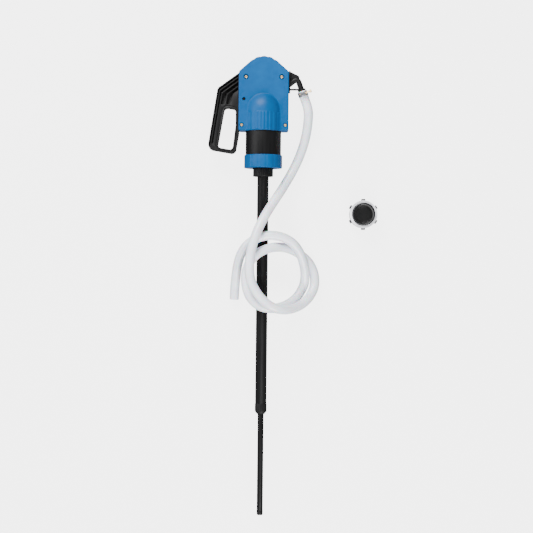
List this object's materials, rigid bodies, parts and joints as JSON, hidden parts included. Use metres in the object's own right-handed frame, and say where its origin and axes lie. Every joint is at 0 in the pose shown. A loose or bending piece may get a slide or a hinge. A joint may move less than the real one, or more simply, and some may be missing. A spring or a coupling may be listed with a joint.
{
  "type": "lever barrel pump",
  "caption": "Hand lever pump with a blue round housing, ribbed black swing handle, telescopic suction tube, clear hose on a clamped spout and a loose threaded drum adapter.",
  "frame": {"origin": "the middle of the flat pad on the back of the rear shell, where the pump rests on a surface, straight below the pump axis", "axes": "+Y runs along the pump axis from the suction tube towards the head, +X points to the spout and hose side, away from the lever, and +Z points away from the surface, towards the front shell"},
  "size_m": [0.4432, 1.1893, 0.1195],
  "materials": {
    "housing_plastic": "satin moulded blue plastic",
    "black_plastic": "satin moulded black plastic",
    "tube_plastic": "satin extruded black plastic",
    "screw_metal": "yellow passivated screw",
    "steel": "plain bright steel",
    "rubber": "matt black rubber",
    "white_gasket": "matt white soft plastic",
    "acetal": "natural white acetal",
    "hose_vinyl": "milky translucent vinyl hose"
  },
  "bodies": {
    "pump_body": {"base_plug": "black_plastic", "base_seal": "rubber", "clamp_band": "steel", "clamp_housing": "steel", "collar_ring": "housing_plastic", "cylinder": "black_plastic", "front_shell": "housing_plastic", "gland_nut": "acetal", "head_seal": "rubber", "hose": "hose_vinyl", "hose_cuff": "hose_vinyl", "outlet_head": "black_plastic", "pivot_sleeve": "steel", "rear_shell": "housing_plastic", "rod_seal": "rubber", "shell_nut_1": "steel", "shell_nut_2": "steel", "shell_nut_3": "steel", "shell_nut_4": "steel", "shell_screw_1": "screw_metal", "shell_screw_2": "screw_metal", "shell_screw_3": "screw_metal", "shell_screw_4": "screw_metal", "telescope_seal": "rubber", "tube_gasket": "rubber", "upper_tube": "tube_plastic", "valve_cage": "acetal"},
    "lever_body": {"lever": "black_plastic"},
    "piston_body": {"piston_rod": "steel", "rod_eye": "acetal", "crosshead_pin": "steel", "pin_clip_front": "steel", "pin_clip_rear": "steel", "piston": "acetal", "piston_seal": "rubber", "valve_guard": "steel", "piston_nut": "steel"},
    "piston_valve_body": {"piston_valve": "rubber"},
    "inlet_valve_body": {"inlet_valve": "rubber"},
    "lower_tube_body": {"lower_tube": "tube_plastic", "tube_stop": "acetal", "foot_strainer": "black_plastic"},
    "telescope_nut_body": {"telescope_nut": "black_plastic"},
    "union_nut_body": {"union_nut": "black_plastic"},
    "clamp_screw_body": {"clamp_screw": "screw_metal"},
    "adapter_body": {"drum_adapter": "black_plastic", "adapter_gasket": "white_gasket"}
  },
  "joints": [
    {"name": "lever_swing", "type": "hinge", "parent": "pump_body", "child": "lever_body", "pos_m": [-0.046, 0.101, 0.0495], "axis": [0, 0, -1], "range_deg": [0, 56]},
    {"name": "piston_stroke", "type": "slide", "parent": "pump_body", "child": "piston_body", "axis": [0, -1, 0], "range_m": [0, 0.0479]},
    {"name": "piston_valve_lift", "type": "slide", "parent": "piston_body", "child": "piston_valve_body", "axis": [0, 1, 0], "range_m": [0, 0.004]},
    {"name": "inlet_valve_lift", "type": "slide", "parent": "pump_body", "child": "inlet_valve_body", "axis": [0, 1, 0], "range_m": [0, 0.004]},
    {"name": "tube_telescope", "type": "slide", "parent": "pump_body", "child": "lower_tube_body", "axis": [0, 1, 0], "range_m": [0, 0.225]},
    {"name": "telescope_nut_turn", "type": "hinge", "parent": "pump_body", "child": "telescope_nut_body", "pos_m": [0, -0.758, 0.0495], "axis": [0, 1, 0], "continuous": true},
    {"name": "union_nut_turn", "type": "hinge", "parent": "pump_body", "child": "union_nut_body", "pos_m": [0, -0.145, 0.0495], "axis": [0, 1, 0], "continuous": true},
    {"name": "clamp_screw_turn", "type": "hinge", "parent": "pump_body", "child": "clamp_screw_body", "pos_m": [0.10204, 0.05978, 0.0666], "axis": [0.9397, 0.3419, 0], "continuous": true},
    {"name": "adapter_lift", "type": "slide", "parent": "pump_body", "child": "adapter_body", "axis": [0, 0, 1], "range_m": [0, 0.1]}
  ],
  "couplings": [
    {"joint": "piston_stroke", "follows": "lever_swing", "m_per_rad": 0.049}
  ]
}
